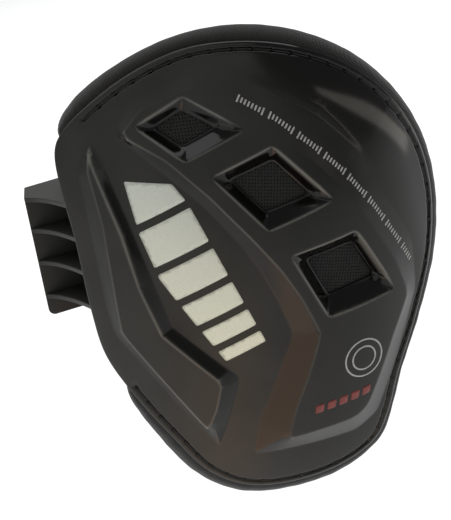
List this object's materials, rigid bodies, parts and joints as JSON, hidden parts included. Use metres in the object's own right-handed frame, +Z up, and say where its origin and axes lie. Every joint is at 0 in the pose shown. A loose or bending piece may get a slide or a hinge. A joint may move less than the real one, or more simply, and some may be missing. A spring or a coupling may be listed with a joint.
{
  "type": "knee guard",
  "caption": "Domed knee cup for a riding knee brace: moulded shell with vents and a ribbed side tab, sewn to a bound foam pad.",
  "frame": {"origin": "centre of the flat seat on the back of the side tab", "axes": "+Z up the leg as worn, -Y the way the guard's face points, +X from the tab across the knee"},
  "size_m": [0.1463, 0.072, 0.172],
  "materials": {
    "shell_plastic": "satin moulded black with a fine grain",
    "vent_mesh": "black knitted mesh",
    "rim_textile": "black ribbed knit",
    "lining": "brushed black knit",
    "foam": "closed-cell foam",
    "thread": "bonded black thread",
    "silver_film": "pale silver reflective transfer",
    "print_ink": "grey pad-printed ink"
  },
  "bodies": {
    "root": {"impact_shell": "shell_plastic", "vent_mesh_upper": "vent_mesh", "vent_mesh_middle": "vent_mesh", "vent_mesh_lower": "vent_mesh", "outer_cover": "rim_textile", "impact_foam": "foam", "comfort_foam": "foam", "inner_lining": "lining", "edge_binding": "rim_textile", "needle_thread": "thread", "bobbin_thread": "thread", "badge_film": "silver_film"}
  },
  "joints": []
}
